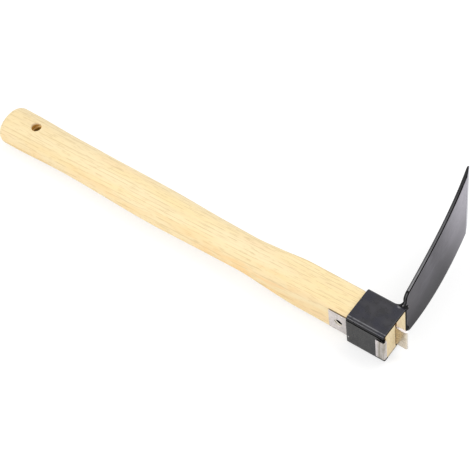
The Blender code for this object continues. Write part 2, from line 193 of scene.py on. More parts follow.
def lying_matrix():
    """From the hoe's own axes to the frame's."""
    mounts = {mount["name"]: mount for mount in frame["record"]["mounts"]}
    upper = mounts["socket_upper_side"]
    up = Vector(upper["axis"]).normalized()
    along = -Vector(mounts["butt_end"]["axis"]).normalized()
    across = up.cross(along).normalized()
    up = along.cross(across)
    origin = Vector(upper["pos_m"]) + along * (SOCKET_LENGTH / 2) - up * (SOCKET_WIDTH / 2)
    turned = Matrix((along, across, up)).transposed().to_4x4()
    return Matrix.Translation(origin) @ turned


HOE = lying_matrix()


# Nodes of the materials

def feed(tree, value, target):
    """Links an output to an input, or sets the input's plain value."""
    if isinstance(value, bpy.types.NodeSocket):
        tree.links.new(value, target)
    elif isinstance(value, tuple) and len(value) == 3 and target.type == "RGBA":
        target.default_value = (*value, 1.0)
    else:
        target.default_value = value


def add_node(tree, kind, inputs=()):
    """A new shader node, with inputs by name or number."""
    made = tree.nodes.new("ShaderNode" + kind)
    for key, value in dict(inputs).items():
        feed(tree, value, made.inputs[key])
    return made


class Look:
    """A material's nodes and the colour built up so far; paint lays the next colour over it."""

    def __init__(self, name, colour=None):
        self.material = bpy.data.materials.new(name)
        self.material.use_nodes = True
        self.tree = self.material.node_tree
        self.shader = self.tree.nodes["Principled BSDF"]
        self.colour = colour
        self.normal = None
        back = HOE.inverted()
        turn = self.node("Mapping", {
            "Vector": self.node("TexCoord").outputs["Object"],
            "Rotation": back.to_euler(), "Location": back.translation})
        self.place = turn.outputs["Vector"]
        self.x, self.y, self.z = self.node("SeparateXYZ", {0: self.place}).outputs

    def node(self, kind, inputs=()):
        return add_node(self.tree, kind, inputs)

    def scaled(self, scale, shift=(0, 0, 0), source=None):
        """The place stretched by one factor or by three, then shifted."""
        factors = scale if isinstance(scale, tuple) else (scale, scale, scale)
        stretch = self.node("Mapping", {
            "Vector": source or self.place, "Scale": factors, "Location": shift})
        return stretch.outputs["Vector"]

    def noise(self, scale, shift=(0, 0, 0), detail=3, source=None):
        texture = self.node("TexNoise", {
            "Vector": self.scaled(scale, shift, source), "Scale": 1.0, "Detail": detail})
        return texture.outputs[0]

    def ramp(self, value, low, high, least=0.0, most=1.0):
        """Smooth step of value from low to high, giving least to most."""
        step = self.node("MapRange", {
            "Value": value, "From Min": low, "From Max": high, "To Min": least, "To Max": most})
        step.interpolation_type = "SMOOTHSTEP"
        return step.outputs["Result"]

    def patches(self, scale, low, high, least=0.0, most=1.0, shift=(0, 0, 0), detail=3, source=None):
        return self.ramp(self.noise(scale, shift, detail, source), low, high, least, most)

    def band(self, value, low, low_full, high_full, high):
        """1 between the two full places and 0 outside the other two."""
        return self.times(self.ramp(value, low, low_full), self.ramp(value, high, high_full))

    def combine(self, kind, first, second=0.0):
        made = self.node("Math", {0: first, 1: second})
        made.operation = kind
        return made.outputs[0]

    def times(self, first, second):
        return self.combine("MULTIPLY", first, second)

    def plus(self, first, second):
        return self.combine("ADD", first, second)

    def length(self, vector):
        made = self.node("VectorMath", {0: vector})
        made.operation = "LENGTH"
        return made.outputs["Value"]

    def spot(self, centre, full, gone, stretch=(1.0, 1.0, 1.0)):
        """1 within a distance of a place and 0 beyond the farther one."""
        shift = tuple(-value * factor for value, factor in zip(centre, stretch))
        return self.ramp(self.length(self.scaled(stretch, shift)), gone, full)

    def edge_mark(self):
        """The value that mark_edges gave the mesh at each point."""
        read = self.node("Attribute")
        read.attribute_name = "edge"
        return read.outputs["Fac"]

    def mix(self, share, first, second):
        made = self.node("Mix")
        made.data_type = "RGBA"
        for number, value in ((0, share), (6, first), (7, second)):
            feed(self.tree, value, made.inputs[number])
        return made.outputs[2]

    def paint(self, share, colour):
        self.colour = self.mix(share, self.colour, colour)

    def bump(self, height, distance, strength):
        """Adds relief to the bumps made before."""
        inputs = {"Height": height, "Distance": distance, "Strength": strength}
        if self.normal is not None:
            inputs["Normal"] = self.normal
        self.normal = self.node("Bump", inputs).outputs["Normal"]
        feed(self.tree, self.normal, self.shader.inputs["Normal"])

    def shade(self, roughness, specular=0.5, metallic=0.0):
        """Feeds the shader and returns the finished material."""
        values = {
            "Base Color": self.colour, "Roughness": roughness, "Specular IOR Level": specular,
            "Metallic": metallic}
        for name, value in values.items():
            feed(self.tree, value, self.shader.inputs[name])
        return self.material


# Wood

def wood_look(name, colour):
    """A look with the grain's own axes, a little askew to the handle."""
    look = Look(name, colour)
    turn = look.node("Mapping", {"Vector": look.place, "Rotation": (0.0, 0.012, -0.022)})
    look.grain = turn.outputs["Vector"]
    return look


def growth_rings(look, wobble):
    """Waves across the growth rings, whose centre lies far beside the handle."""
    spacing = 0.0033
    centre = look.scaled((0, 1, 1), (0, 0.26, 0.06), look.grain)
    wander = look.times(look.noise((5, 70, 70), detail=2, source=look.grain), wobble)
    place = look.plus(look.length(centre), wander)
    return look.combine("SINE", look.times(place, 2 * math.pi / spacing))


def wood_material():
    """Cream wood with broad warm drifts, ring lines broken into dashes and short fine flecks."""
    look = wood_look("pale_wood", (0.925, 0.765, 0.475))
    tan = (0.68, 0.51, 0.26)

    def drift(scale, low, high, most, shift, detail=2):
        return look.patches(scale, low, high, 0, most, shift, detail, look.grain)

    look.paint(drift((9, 60, 60), 0.4, 0.72, 1, (3, 1, 7)), (0.925, 0.735, 0.4))
    look.paint(drift((14, 90, 90), 0.52, 0.75, 0.35, (8, 5, 2)), (0.93, 0.69, 0.44))

    broken = drift((60, 300, 300), 0.42, 0.54, 1, (5, 9, 1))
    dashes = look.times(look.ramp(growth_rings(look, 0.0024), 0.7, 1), broken)
    flecks = drift((100, 950, 950), 0.56, 0.66, 1, (2, 3, 1))
    look.paint(drift((12, 420, 420), 0.5, 0.72, 0.22, (0, 4, 2), 3), tan)
    look.paint(look.times(dashes, 0.62), tan)
    look.paint(look.times(flecks, 0.42), tan)

    look.paint(look.ramp(look.x, -0.3, -0.4, 0, 0.14), tan)
    # Painted shade: a warmer, more orange tint on the near side, strongest about the middle, in patches
    near_side = look.ramp(look.y, -0.006, -0.016)
    middle = look.band(look.x, -0.225, -0.17, -0.12, -0.075)
    near_side_shade = look.times(near_side, look.plus(look.times(middle, 0.4), 0.25))
    patch = look.patches((35, 120, 120), 0.38, 0.62, 0.15, 1, (1, 1, 4), 2)
    look.paint(look.times(near_side_shade, patch), (0.93, 0.6, 0.25))

    beside_tab = look.times(
        look.ramp(look.x, TAB_END - 0.0004, TAB_END),
        look.ramp(look.y, TENON_NEAR + 0.0024, TENON_NEAR + 0.001))
    tab_side = STRAP_WIDTH / 2
    tab_shade = look.band(look.z, tab_side - 0.0002, tab_side, tab_side + 0.0004, tab_side + 0.001)
    look.paint(look.times(beside_tab, tab_shade), (0.12, 0.07, 0.03))
    # Painted light: the wood seen through the tab's hole is painted paler than the rest
    lit_behind_hole = look.spot((TAB_HOLE_X, TENON_NEAR, 0), STRAP_HOLE / 2 + 0.0005, STRAP_HOLE / 2 + 0.0011)
    look.paint(look.times(lit_behind_hole, 0.85), (0.9, 0.87, 0.8))

    look.bump(look.plus(look.times(dashes, -0.8), look.times(flecks, -1)), 0.00012, 0.6)
    return look.shade(look.ramp(flecks, 0, 1, 0.55, 0.7), 0.3)


def end_grain_material():
    """Sawn end of the wood: growth rings, pores and saw marks."""
    look = wood_look("wood_end_grain", (0.95, 0.8, 0.5))
    pores = look.patches((300, 900, 900), 0.54, 0.7, 0, 0.4, detail=2)
    blotch = look.patches((60, 130, 130), 0.35, 0.7, 0, 0.8, (2, 2, 2), 2)
    look.paint(blotch, (0.9, 0.72, 0.49))
    look.paint(look.ramp(growth_rings(look, 0.001), -0.2, 1, 0, 0.22), (0.8, 0.62, 0.36))
    look.paint(pores, (0.62, 0.45, 0.25))
    saw = look.noise((40, 60, 1600), detail=1)
    look.bump(look.plus(look.times(pores, -1), look.times(saw, 0.6)), 0.0002, 0.8)
    return look.shade(0.75, 0.25)


def kerf_material():
    """Inside of the saw cut: its wood painted browner, darkest in patches, as painted shade."""
    look = Look("wood_bore", (0.9, 0.58, 0.27))
    shade_patches = look.patches((150, 150, 60), 0.46, 0.6, shift=(4, 2, 1))
    look.paint(shade_patches, (0.36, 0.18, 0.065))
    look.bump(shade_patches, 0.0001, 0.6)
    return look.shade(0.8, 0.15)


def hang_hole_material():
    """The drilled bore, painted with its light and shade: pale near its rim, painted shade deeper in, a
    paler slanting band of painted light, and painted shade past it.
    """
    look = Look("wood_hang_hole", (0.95, 0.78, 0.52))
    torn = look.times(look.noise((240, 240, 120)), 0.001)
    depth = look.combine("SUBTRACT", THIN_WIDTH / 2 + 0.0005, look.plus(look.z, torn))
    from_far_wall = look.plus(look.x, HANDLE_LENGTH - HANG_HOLE_FROM_BUTT + 0.0032)
    slanting = look.plus(depth, look.times(from_far_wall, 0.65))
    # Painted shade: browner with depth below the rim
    look.paint(look.ramp(depth, 0.0008, 0.0034), (0.58, 0.31, 0.06))
    # Painted light: a paler band that slants across the bore, with painted shade past it
    look.paint(look.band(slanting, 0.0044, 0.0054, 0.0068, 0.008), (0.98, 0.72, 0.34))
    look.paint(look.ramp(slanting, 0.007, 0.0084), (0.52, 0.34, 0.08))
    look.bump(torn, 0.0002, 0.6)
    return look.shade(0.8, 0.15)


def pilot_material():
    """Inside of the small hole behind the tab's: painted pale at its mouth as painted light, and painted
    shade, nearly black, below.
    """
    look = Look("wood_pilot_hole", (0.97, 0.93, 0.85))
    look.paint(look.patches(300, 0.35, 0.65), (0.9, 0.82, 0.68))
    # Painted shade: nearly black deeper than the mouth
    look.paint(look.ramp(look.y, TENON_NEAR, TENON_NEAR + 0.0003), (0.02, 0.014, 0.01))
    return look.shade(0.8, 0.1)


# Painted steel

def socket_material(name, specular):
    """Black paint, mottled and dusty, with rubbed edges and a chip; painted reflection patches, painted
    shade on the near wall, and painted highlights along the fold and in one spot.
    """
    look = Look(name, (0.0135, 0.0128, 0.0165))
    mottle = look.patches(160, 0.35, 0.7)
    look.paint(mottle, (0.0243, 0.02304, 0.0297))
    look.paint(look.patches(1100, 0.72, 0.82, 0, 0.2, (3, 8, 5), 1), (0.06, 0.06, 0.07))
    rubbed = look.times(look.edge_mark(), look.patches(420, 0.64, 0.7, 0, 0.7))
    look.paint(rubbed, (0.3, 0.29, 0.28))
    # Painted reflection: faint blue patches in the paint
    reflection_tint = look.patches((60, 90, 30), 0.4, 0.65, shift=(2, 7, 4), detail=2)
    look.paint(reflection_tint, (0.0102, 0.0102, 0.0205))

    # Painted shade: the near wall painted darker, in upright streaks
    upright = look.patches((420, 30, 40), 0.35, 0.65, shift=(1, 1, 2))
    near_wall_shade = look.mix(upright, (0.004, 0.0038, 0.0045), (0.0115, 0.011, 0.0115))
    look.paint(look.ramp(look.y, NEAR_WALL + 0.0012, NEAR_WALL + 0.0002), near_wall_shade)

    # Painted highlight: a pale line where the top plate begins to bend, broken into lengths
    on_plate = look.ramp(look.z, SOCKET_WIDTH / 2 - 0.0004, SOCKET_WIDTH / 2 - 0.0001)
    fold_highlight = look.band(
        look.y, FOLD_LINE_Y - 0.00075, FOLD_LINE_Y - 0.00025, FOLD_LINE_Y + 0.00025, FOLD_LINE_Y + 0.00075)
    worn_and_lit = look.patches((260, 90, 90), 0.3, 0.6, 0.25, 1, (6, 1, 1))
    look.paint(look.times(look.times(on_plate, fold_highlight), worn_and_lit), (0.16, 0.16, 0.17))
    # Painted highlight: one pale spot on the far upper corner beside the weld
    highlight_spot = look.spot((-0.006, 0.015, 0.019), 0.0004, 0.0014, (0.6, 1, 0.6))
    look.paint(look.times(highlight_spot, 0.8), (0.19, 0.19, 0.2))
    chip = look.spot((-0.0357, NEAR_WALL, -0.0082), 0.0004, 0.001, (1, 1, 0.7))
    look.paint(chip, (0.4, 0.39, 0.38))

    look.bump(look.noise(1500, detail=2), 0.00002, 0.4)
    look.bump(look.noise(110, (2, 2, 9), 1), 0.00025, 0.25)
    return look.shade(look.ramp(mottle, 0, 1, 0.26, 0.34), specular, look.times(rubbed, 0.8))


def rim_material():
    """Sheared front edge of the sheet: its black paint painted darker and duller as painted shade, and pale
    along its lower part under the wood's end.
    """
    look = Look("socket_sheared_rim", (0.0022, 0.0018, 0.0014))
    grit = look.noise((900, 700, 700))
    look.paint(look.ramp(grit, 0.4, 0.7), (0.01, 0.008, 0.006))
    low = look.ramp(look.z, -SIDE_INNER + 0.0004, -SIDE_INNER - 0.0002)
    pale_band = look.times(low, look.ramp(look.y, -0.0128, -0.0112))
    look.paint(look.times(pale_band, look.ramp(grit, 0.3, 0.5, 0.7, 1)), (0.66, 0.61, 0.52))
    look.bump(grit, 0.00008, 0.5)
    return look.shade(0.65, 0.06)


def seam_material():
    """Bottom of the open seam, where paint and shade leave nearly nothing to see."""
    look = Look("seam_shade", (0.002, 0.002, 0.002))
    look.paint(look.patches(700, 0.45, 0.7, detail=2), (0.01, 0.009, 0.008))
    return look.shade(0.7, 0.1)


def weld_material():
    """Glossy black paint over lumps, with two painted highlights, pale grey spots broken by noise."""
    look = Look("weld_gloss_paint", (0.001, 0.001, 0.0012))
    lump = look.noise(500)
    look.paint(look.ramp(lump, 0.4, 0.7), (0.005, 0.005, 0.0055))
    patchy = look.patches(900, 0.35, 0.55, 0.4, 1, (2, 6, 3), 1)
    # Painted highlights: two pale spots near the upper end of the bead
    left_spot = look.spot((-0.0043, 0.0186, 0.0186), 0.0005, 0.0012)
    right_spot = look.spot((-0.0005, 0.0205, 0.0172), 0.0004, 0.0011)
    weld_highlights = look.combine("MAXIMUM", left_spot, look.times(right_spot, 0.4))
    look.paint(look.times(weld_highlights, patchy), (0.52, 0.49, 0.5))
    look.bump(lump, 0.0005, 0.8)
    return look.shade(look.ramp(lump, 0.3, 0.7, 0.25, 0.45), 0.18)


def blade_material(name, coats, bare_length, roughness, specular, rim_colour, neck=None, slant=0):
    """Dark coat with fine lines along the plate, painted shade towards its lower side, and the bare grind.

    coats has its colours near the neck, in the middle and at the edge; the front's grow lighter towards
    the edge, partly a coat worn thinner and partly painted reflection. A slant, which the front has,
    tilts the border of the lighter part, wears one side beside the neck and darkens the grind's border.
    A neck colour gives the side beside the neck a painted highlight line, and on the front the rim
    colour is a painted highlight along its rims.
    """
    look = Look(name)
    out = look.y
    slanting = look.plus(out, look.times(look.z, slant))
    lighter_from = SHOULDER_Y + 0.055 + 0.013 * slant
    lighter_to = EDGE_Y - 0.004 + 0.005 * slant

    def along(factors):
        near, middle, far = [tuple(c * factor for c in coat) for coat, factor in zip(coats, factors)]
        first = look.mix(look.ramp(out, SHOULDER_Y + 0.008, SHOULDER_Y + 0.045), near, middle)
        return look.mix(look.ramp(slanting, lighter_from, lighter_to), first, far)

    look.colour = along((1, 1, 1))
    darker = along((0.5, 0.36, 0.28 + 1.35 * slant))
    paler = along((1.8, 1.4, 1.12))
    lines = look.noise((900, 26, 900), (1, 3, 2))
    cloud = look.noise((70, 40, 70), (7, 3, 2))
    look.paint(look.ramp(lines, 0.35, 0.7, 0, 0.4), darker)
    look.paint(look.ramp(cloud, 0.45, 0.75, 0, 0.6), paler)
    # Painted shade: darker towards the plate's lower side
    look.paint(look.ramp(look.z, 0.016, -0.03), darker)
    if slant:
        beside_neck = look.ramp(out, SHOULDER_Y + 0.04, SHOULDER_Y + 0.016)
        worn_side = look.times(look.ramp(look.z, -0.024, 0.02, 0, 0.6), beside_neck)
        look.paint(worn_side, (0.135, 0.129, 0.142))
    # Beside the neck the side is black, with a painted highlight line in the neck colour
    if neck is not None:
        at_neck = look.ramp(out, SHOULDER_Y + 0.0102, SHOULDER_Y + 0.0092)
        across = look.combine("SUBTRACT", -BLADE_SETBACK - 0.0002, look.x)
        neck_highlight = look.times(
            look.band(across, 0.0008, 0.0014, 0.0024, 0.003),
            look.ramp(out, SHOULDER_Y + 0.0086, SHOULDER_Y + 0.007))
        look.paint(at_neck, look.mix(neck_highlight, (0.004, 0.004, 0.004), neck))

    # Along the rims, rim_colour: a pale painted highlight on the front, dark on the other faces
    rim = look.edge_mark()
    look.paint(look.times(rim, 0.85), rim_colour)
    rubbed = look.times(rim, look.patches(420, 0.67, 0.72, 0, 0.5))
    look.paint(rubbed, (0.3, 0.29, 0.29))
    line = look.plus(out, look.times(look.noise((0, 0, 160)), 0.0006))
    grind = EDGE_Y - bare_length
    pale_band = look.ramp(line, grind, grind + 0.0004)
    if slant:
        look.paint(look.ramp(line, grind - 0.0011, grind - 0.0002, 0, 0.8), (0.12, 0.115, 0.13))
    scratches = look.noise((300, 1500, 60), (1, 1, 1))
    look.paint(pale_band, look.mix(look.ramp(scratches, 0.3, 0.7), (0.57, 0.56, 0.61), (0.46, 0.46, 0.5)))
    look.bump(look.plus(look.times(lines, 0.5), cloud), 0.00015, 0.35)
    look.bump(scratches, 0.00003, 0.5)
    metallic = look.combine("MAXIMUM", pale_band, look.times(rubbed, 0.8))
    return look.shade(look.plus(look.times(pale_band, 0.5 - roughness), roughness), specular, metallic)


# Bare steel and zinc

def strap_material():
    """Galvanised strip: faint crystals, rolling lines and dull handling marks; painted shade on its fold and
    beside the socket.
    """
    look = Look("galvanised_strip", (0.69, 0.645, 0.635))
    crystals = look.node("TexVoronoi", {"Vector": look.scaled(420), "Scale": 1})
    look.paint(look.ramp(crystals.outputs["Color"], 0.2, 0.9), (0.6, 0.555, 0.545))
    dull = look.noise(160)
    look.paint(look.ramp(dull, 0.5, 0.75, 0, 0.7), (0.48, 0.46, 0.44))
    # Painted shade: the tab darker towards its end by the socket
    shade_by_socket = look.ramp(look.x, -SOCKET_LENGTH - 0.008, -SOCKET_LENGTH - 0.003, 0, 0.6)
    on_tab = look.ramp(look.x, -SOCKET_LENGTH + 0.003, -SOCKET_LENGTH + 0.001)
    look.paint(look.times(shade_by_socket, on_tab), (0.5, 0.47, 0.46))

    # Painted shade on the hook's fold, in streaks
    on_hook = look.ramp(look.y, -WALL_INNER, -WALL_INNER - 0.0012)
    fold = look.ramp(look.x, -0.0063, -0.0038, 0, 0.82)
    shade_streaks = look.patches((700, 40, 45), 0.36, 0.62, 0.35, 1, (3, 2, 1))
    look.paint(look.times(on_hook, look.times(fold, shade_streaks)), (0.27, 0.243, 0.18))
    look.bump(dull, 0.0003, 0.4)
    look.bump(look.noise((40, 1400, 1400), detail=2), 0.00003, 0.5)
    return look.shade(look.ramp(dull, 0.3, 0.7, 0.3, 0.48), metallic=0.95)


def sheared_edge_shade_material():
    """Sides of the strip, dull where it was sheared, and painted dark as the shade along the tab's edges."""
    look = Look("sheared_strip_edge", (0.045, 0.034, 0.024))
    lines = look.noise((900, 60, 900), detail=2)
    look.paint(look.ramp(lines, 0.35, 0.65), (0.1, 0.08, 0.06))
    look.bump(lines, 0.00004, 0.5)
    return look.shade(0.6, metallic=0.5)


def punched_wall_lit_material():
    """Inside of the tab's hole, painted pale as painted light, with torn grain."""
    look = Look("punched_strip_wall", (0.96, 0.93, 0.86))
    torn = look.noise(700)
    look.paint(look.ramp(torn, 0.35, 0.65), (0.84, 0.79, 0.7))
    look.bump(torn, 0.00005, 0.5)
    return look.shade(0.6)


def wedge_material():
    """Bright steel with painted shade along both sides, a paler end, and a painted highlight along the top.
    """
    look = Look("bright_wedge_steel", (0.66, 0.58, 0.46))
    dull = look.noise(220)
    look.paint(look.ramp(dull, 0.45, 0.75), (0.52, 0.45, 0.36))
    look.paint(look.ramp(look.x, WEDGE_PROUD - 0.0006, WEDGE_PROUD - 0.0001), (0.74, 0.7, 0.64))
    side = WEDGE_WIDTH / 2
    # Painted shade: darker bands below the top edge and above the bottom edge
    upper_side_shade = look.ramp(look.z, side - 0.0016, side - 0.0006, 0, 0.55)
    lower_side_shade = look.ramp(look.z, -side + 0.001, -side + 0.0004, 0, 0.45)
    look.paint(look.combine("MAXIMUM", upper_side_shade, lower_side_shade), (0.25, 0.21, 0.18))
    # Painted highlight: the top edge painted paler
    look.paint(look.ramp(look.z, side - 0.0003, side - 0.0001), (0.8, 0.73, 0.7))
    look.bump(dull, 0.0002, 0.4)
    look.bump(look.noise((1300, 300, 60), detail=2), 0.00003, 0.5)
    return look.shade(look.ramp(dull, 0.3, 0.7, 0.2, 0.34), metallic=1)


# Meshes

def new_object(name, data):
    obj = bpy.data.objects.new(name, data)
    bpy.context.scene.collection.objects.link(obj)
    return obj


def object_from(work, name):
    mesh = bpy.data.meshes.new(name)
    work.to_mesh(mesh)
    work.free()
    return new_object(name, mesh)


def skin(rings, closed_along=False):
    """A body through rings of equally many points, closed with flat ends or joined end to end."""
    work = bmesh.new()
    rings = [[work.verts.new(point) for point in ring] for ring in rings]
    if closed_along:
        rings.append(rings[0])
    else:
        work.faces.new(rings[0])
        work.faces.new(list(reversed(rings[-1])))
    for low, high in zip(rings, rings[1:]):
        for i in range(len(low)):
            j = (i + 1) % len(low)
            work.faces.new((low[j], low[i], high[i], high[j]))
    bmesh.ops.recalc_face_normals(work, faces=work.faces)
    return work


def prism(name, outline, width):
    """An outline in X and Y made width deep about z = 0."""
    return object_from(skin([[(x, y, z) for x, y in outline] for z in (-width / 2, width / 2)]), name)


def drill(name, middle, radius, near, far, sides):
    """A round cutter along Y from near to far; its middle has X and Z."""
    circle = arc(middle, radius, 0, 360, sides)[:-1]
    return object_from(skin([[(x, y, z) for x, z in circle] for y in (near, far)]), name)


def bake_modifiers(obj):
    graph = bpy.context.evaluated_depsgraph_get()
    mesh = bpy.data.meshes.new_from_object(obj.evaluated_get(graph))
    obj.modifiers.clear()
    obj.data = mesh


def subtract(target, cutter, material):
    """Cuts the target; the faces that the cutter leaves have the material."""
    cutter.data.materials.append(material)
    modifier = target.modifiers.new("cut_" + cutter.name, "BOOLEAN")
    modifier.operation = "DIFFERENCE"
    modifier.solver = "EXACT"
    modifier.material_mode = "TRANSFER"
    modifier.object = cutter
    bake_modifiers(target)
    bpy.data.objects.remove(cutter, do_unlink=True)


def round_edges(obj, width, segments, angle=40.0):
    bevel = obj.modifiers.new("round_edges", "BEVEL")
    bevel.width = width
    bevel.segments = segments
    bevel.limit_method = "ANGLE"
    bevel.angle_limit = math.radians(angle)
    bake_modifiers(obj)


def mark_edges(obj, values):
    """Gives each point the value that the materials read with edge_mark."""
    layer = obj.data.attributes.new("edge", "FLOAT", "POINT")
    for slot, value in zip(layer.data, values):
        slot.value = value


def paint_faces(obj, materials, choose=lambda centre, normal: 0):
    """Sets each face's material by its middle and its normal, in the hoe's own axes."""
    obj.data.materials.clear()
    for made in materials:
        obj.data.materials.append(made)
    for face in obj.data.polygons:
        face.material_index = choose(face.center, face.normal)


def place_piece(obj, node, smooth_angle=35.0):
    """Lays the piece where the frame has it and lets it stand for its node."""
    obj.data.transform(HOE)
    obj.data.shade_smooth()
    obj.data.set_sharp_from_angle(angle=math.radians(smooth_angle))
    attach(obj, "root")
    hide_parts(node)


def arc(centre, radius, start, end, steps):
    """Points on an arc in a plane, angles in degrees."""
    turns = [math.radians(start + (end - start) * i / steps) for i in range(steps + 1)]
    return [(centre[0] + radius * math.cos(turn), centre[1] + radius * math.sin(turn)) for turn in turns]


def smooth_step(value):
    value = min(1.0, max(0.0, value))
    return value * value * (3 - 2 * value)


def smooth_value(place, knots):
    """Smooth value at a place between rising knots (place, value), level where the values turn."""
    def slope(index):
        if index == 0 or index == len(knots) - 1:
            return 0.0
        (x0, v0), (x1, v1), (x2, v2) = knots[index - 1:index + 2]
        before = (v1 - v0) / (x1 - x0)
        after = (v2 - v1) / (x2 - x1)
        return 2 * before * after / (before + after) if before * after > 0 else 0.0

    for index, ((x0, v0), (x1, v1)) in enumerate(zip(knots, knots[1:])):
        if place <= x1:
            span = x1 - x0
            u = (place - x0) / span
            rise = (3 - 2 * u) * u * u
            bend = u * (1 - u) * span * (slope(index) * (1 - u) - slope(index + 1) * u)
            return v0 + (v1 - v0) * rise + bend
    return knots[-1][1]


# Handle

def handle_values(x):
    """Depth, width, shift and roundness of the handle at x."""
    return [
        smooth_value(-x, [(section[0], section[column]) for section in HANDLE_SECTIONS])
        for column in range(1, 5)]


def handle_ring(x, inset):
    corner_steps = 14
    depth, width, shift, roundness = handle_values(x)
    half_y = depth / 2 - inset
    half_z = width / 2 - inset
    curved = roundness / 100
    ring = []
    for sign_y, sign_z, start in CORNERS:
        middle = (sign_y * (1 - curved), sign_z * (1 - curved))
        for y, z in arc(middle, curved, start, start + 90, corner_steps):
            ring.append(Vector((x, shift + half_y * y, half_z * z)))
    return ring


def handle_height(x, y):
    """How far the wood reaches across Z above a place near its middle."""
    depth, width, shift, roundness = handle_values(x)
    curved = roundness / 100
    over = max(0.0, (abs(y - shift) / (depth / 2) - (1 - curved)) / curved)
    return width / 2 * (1 - curved + curved * math.sqrt(max(0.0, 1 - over * over)))


def hand_shaped(point):
    """A real handle is never quite even: a shallow wander of its surface, none at the socket."""
    height = 0.00022
    even_until = 0.062
    head_ramp = 0.020
    butt_ramp = 0.006
    from_butt = point.x + HANDLE_LENGTH
    fade = smooth_step((-even_until - point.x) / head_ramp) * smooth_step(from_butt / butt_ramp)
    wander = noise.noise(Vector((point.x * 22, point.y * 60, point.z * 60 + 3)))
    outward = Vector((0.0, point.y, point.z)).normalized()
    return point + outward * (wander * height * fade)


def hang_hole_cutter():
    """Drill hole whose two rims are rounded along the wood's own surface."""
    above_wood = 0.004
    overlap = 0.00004
    sides = 72
    x0 = HANG_HOLE_FROM_BUTT - HANDLE_LENGTH
    levels = [(HOLE_RIM, -above_wood)]
    for i in range(7):
        angle = math.radians(90 * i / 6)
        depth = HOLE_RIM - (HOLE_RIM + overlap) * math.cos(angle)
        levels.append((HOLE_RIM - HOLE_RIM * math.sin(angle), depth))
    rings = []
    for side in (1, -1):
        for wider, depth in levels[::side]:
            circle = arc((x0, HANG_HOLE_SHIFT), HANG_HOLE / 2 + wider, 0, 360, sides)[:-1]
            rings.append([(x, y, side * (handle_height(x, y) - depth)) for x, y in circle])
    return object_from(skin(rings), "hang_hole_cutter")


def wedge_half_thickness(x):
    slope = (WEDGE_HEAD_THICKNESS - WEDGE_THICKNESS) / WEDGE_PROUD
    return max(WEDGE_TIP, WEDGE_THICKNESS + slope * x) / 2


def wedge_outline(stations):
    """Round a slab given by its stations: place, lean and half thickness."""
    near = [(x, WEDGE_MIDDLE + lean - half) for x, lean, half in stations]
    far = [(x, WEDGE_MIDDLE + lean + half) for x, lean, half in stations]
    return near + far[::-1]


def kerf_cutter():
    ahead = 0.002
    front = wedge_half_thickness(ahead) + CLEARANCE
    back = wedge_half_thickness(-WEDGE_SEAT) + CLEARANCE
    stations = ((-WEDGE_SEAT - KERF_BEYOND, 0.0, back), (-WEDGE_SEAT, 0.0, back), (ahead, 0.0, front))
    return prism("kerf_cutter", wedge_outline(stations), 2 * SOCKET_WIDTH)


def make_handle():
    start = BUTT_ROUND - HANDLE_LENGTH
    steps = 215
    profile = arc((start, BUTT_ROUND), BUTT_ROUND, 180, 270, 14)[:-1]
    profile += [(start + (-TENON_END_ROUND - start) * i / steps, 0.0) for i in range(steps + 1)]
    profile += arc((-TENON_END_ROUND, TENON_END_ROUND), TENON_END_ROUND, -90, 0, 3)[1:]
    rings = [[hand_shaped(point) for point in handle_ring(x, inset)] for x, inset in profile]
    handle = object_from(skin(rings), "wood_handle")
    handle.data.materials.append(wood_material())
    subtract(handle, hang_hole_cutter(), hang_hole_material())
    subtract(handle, kerf_cutter(), kerf_material())
    pilot_cutter = drill(
        "pilot_hole_cutter", (TAB_HOLE_X + PILOT_HOLE_FORWARD, PILOT_HOLE_UP), PILOT_HOLE / 2,
        STRAP_INNER - 0.001, STRAP_INNER + PILOT_HOLE_DEPTH, 45)
    subtract(handle, pilot_cutter, pilot_material())
    end_number = len(handle.data.materials)
    handle.data.materials.append(end_grain_material())
    for face in handle.data.polygons:
        at_end = face.center.x > -0.00005 or face.center.x < -HANDLE_LENGTH + 0.0001
        if face.material_index == 0 and at_end and abs(face.normal.x) > 0.9:
            face.material_index = end_number
    place_piece(handle, "handle")


# Socket

def band_outline():
    """Places round the band's outside with the way out at each, finer beside the seam."""
    inner_y = SOCKET_DEPTH / 2 - SOCKET_CORNER
    inner_z = SOCKET_WIDTH / 2 - SOCKET_CORNER
    fine_step = 0.0001
    fine_count = 43
    places = []
    for sign_y, sign_z, start in CORNERS:
        corner = Vector((sign_y * inner_y, sign_z * inner_z))
        for way in map(Vector, arc((0.0, 0.0), 1.0, start, start + 90, 12)):
            places.append((corner + way * SOCKET_CORNER, way))
        here = places[-1][0]
        along = Vector((-way.y, way.x))
        span = 2 * (inner_y if start in (0, 180) else inner_z)
        fine = [fine_step * i for i in range(1, fine_count + 1)] if start == 90 else []
        done = fine_step * len(fine)
        for distance in fine + [done + (span - done) * i / 12 for i in range(1, 12)]:
            places.append((here + along * distance, way))
    return places


def seam_cut(x, place):
    """Depth of the open seam at a place on the near wall, wider and deeper towards the front."""
    on_wall = 0.0006
    wander_height = 0.00012
    slant = 0.0002
    deeper = 0.0004
    if place.y < 0 or place.x > NEAR_WALL + on_wall:
        return 0.0
    at_front = smooth_step((x + SEAM_FLARE_LENGTH) / SEAM_FLARE_LENGTH)
    wander = wander_height * noise.noise(Vector((x * 260, 1.5, 0.0)))
    top = SEAM_Z + SEAM_WIDTH / 2 + wander
    bottom = SEAM_Z - SEAM_WIDTH / 2 - SEAM_FLARE * at_front + wander
    inside = smooth_step((place.y - bottom) / slant + 0.5) * smooth_step((top - place.y) / slant + 0.5)
    return inside * (SEAM_DEPTH + deeper * at_front)


